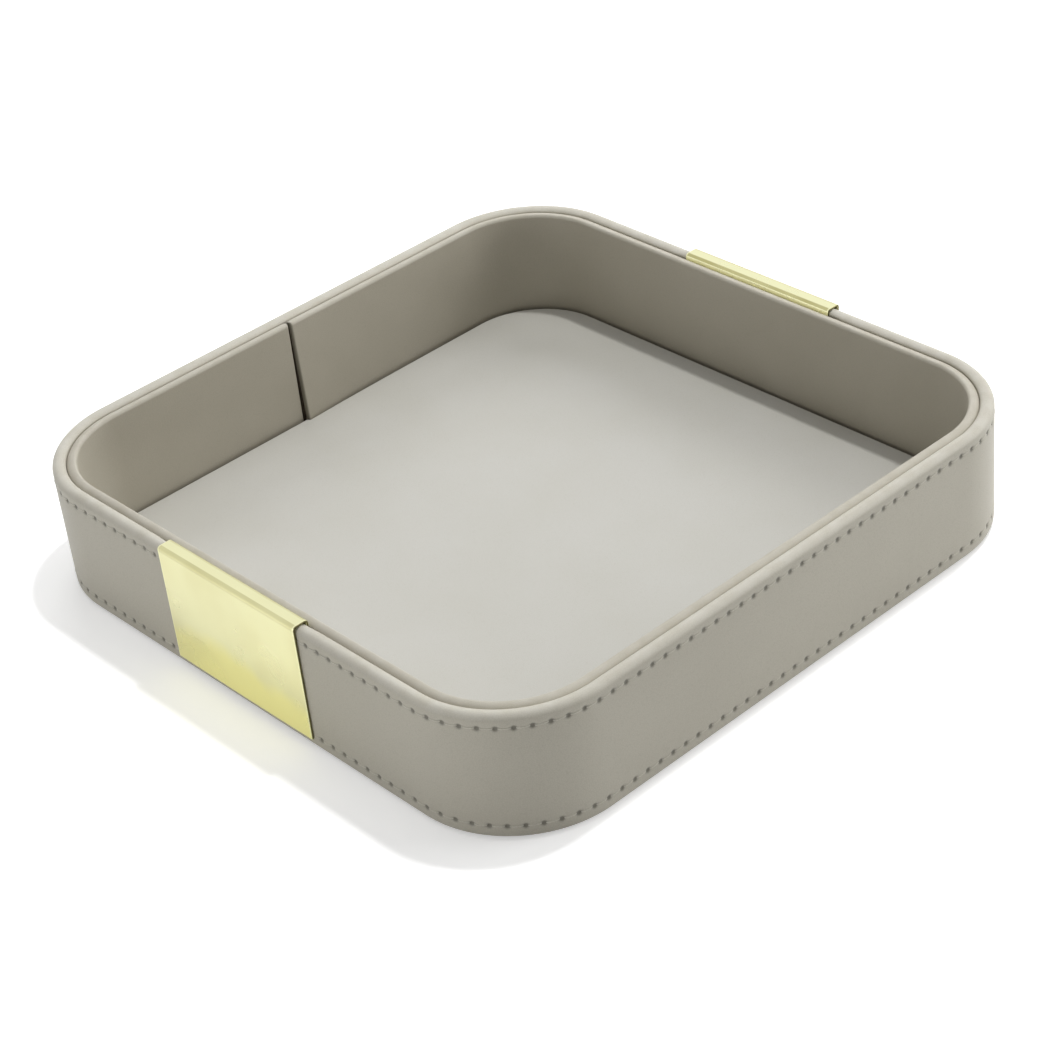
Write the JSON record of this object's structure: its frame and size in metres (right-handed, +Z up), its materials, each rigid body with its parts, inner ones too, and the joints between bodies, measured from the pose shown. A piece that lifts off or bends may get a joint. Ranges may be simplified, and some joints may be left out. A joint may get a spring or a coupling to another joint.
{
  "type": "leather tray",
  "caption": "Open square tray with rounded corners: an outer and an inner leather-wrapped band round a flat leather floor, stitched edges and folded brass clips over two sides",
  "frame": {"origin": "centre of the underside, on the face that rests on the table", "axes": "+X and +Y along the sides, with the clips on the -X and +X sides and the inner band's seam on the +Y side; +Z up, out of the open top"},
  "size_m": [0.2056, 0.2064, 0.0395],
  "materials": {
    "outer_hide": "warm grey, matte, fine grain",
    "inner_hide": "warm grey, matte, fine grain",
    "floor_hide": "pale grey, matte, very fine grain",
    "thread": "waxed polyester thread, tone on tone",
    "brass": "pale satin sheet",
    "fibreboard": "raw hardboard",
    "card": "grey board",
    "suede": "short-napped microsuede"
  },
  "bodies": {
    "root": {"outer_core": "fibreboard", "outer_leather": "outer_hide", "top_stitching": "thread", "bottom_stitching": "thread", "left_clip": "brass", "right_clip": "brass", "inner_core": "fibreboard", "inner_leather": "inner_hide", "base_board": "fibreboard", "bottom_card": "card", "bottom_suede": "suede", "floor_board": "card", "floor_leather": "floor_hide"}
  },
  "joints": []
}
